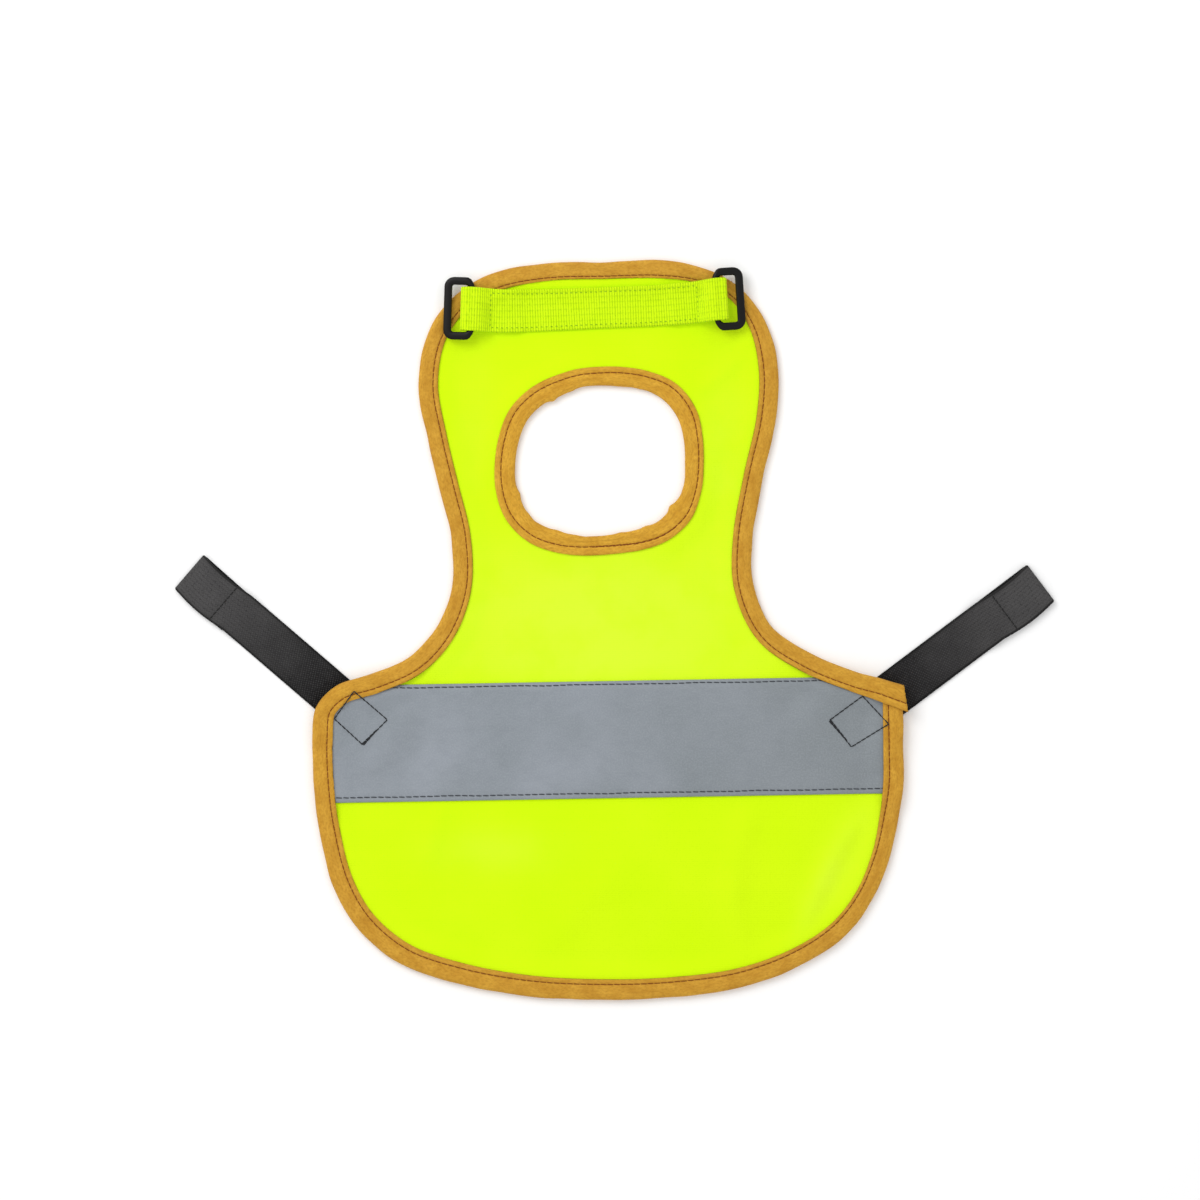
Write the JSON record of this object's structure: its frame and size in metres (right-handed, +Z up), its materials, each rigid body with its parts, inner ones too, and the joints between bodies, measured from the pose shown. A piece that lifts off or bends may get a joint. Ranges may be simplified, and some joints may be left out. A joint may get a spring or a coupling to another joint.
{
  "type": "hi-vis safety vest for a hen, laid flat",
  "caption": "Flat hi-vis bird vest: bound panel with a neck hole, reflective band, elastic side straps and a webbing strap with swinging rings.",
  "frame": {"origin": "middle of the laid-flat vest's bounding box in plan, on the surface it lies on", "axes": "+Y towards the neck end, +X towards the right-hand strap as seen from above, +Z up from the surface"},
  "size_m": [0.376, 0.3164, 0.0089],
  "materials": {
    "hi_vis_cloth": "matte fluorescent polyester",
    "reflective_tape": "grey retroreflective cloth",
    "binding_tape": "mustard bias tape with a soft satin face",
    "black_elastic": "matte woven elastic",
    "hi_vis_webbing": "ribbed fluorescent webbing",
    "black_plastic": "moulded, low gloss"
  },
  "bodies": {
    "garment": {"body_panel": "hi_vis_cloth", "reflective_band": "reflective_tape", "outer_binding": "binding_tape", "neck_binding": "binding_tape", "elastic_strap_left": "black_elastic", "elastic_strap_right": "black_elastic", "webbing_strap": "hi_vis_webbing"},
    "left_ring": {"ring_left": "black_plastic"},
    "right_ring": {"ring_right": "black_plastic"}
  },
  "joints": [
    {"name": "ring_left_swing", "type": "hinge", "parent": "garment", "child": "left_ring", "pos_m": [-0.0609, 0.137, 0.0064], "axis": [0.0297, 0.9996, 0], "range_deg": [0, 150]},
    {"name": "ring_right_swing", "type": "hinge", "parent": "garment", "child": "right_ring", "pos_m": [0.0434, 0.1409, 0.0064], "axis": [0.0644, -0.9979, 0], "range_deg": [0, 150]}
  ]
}
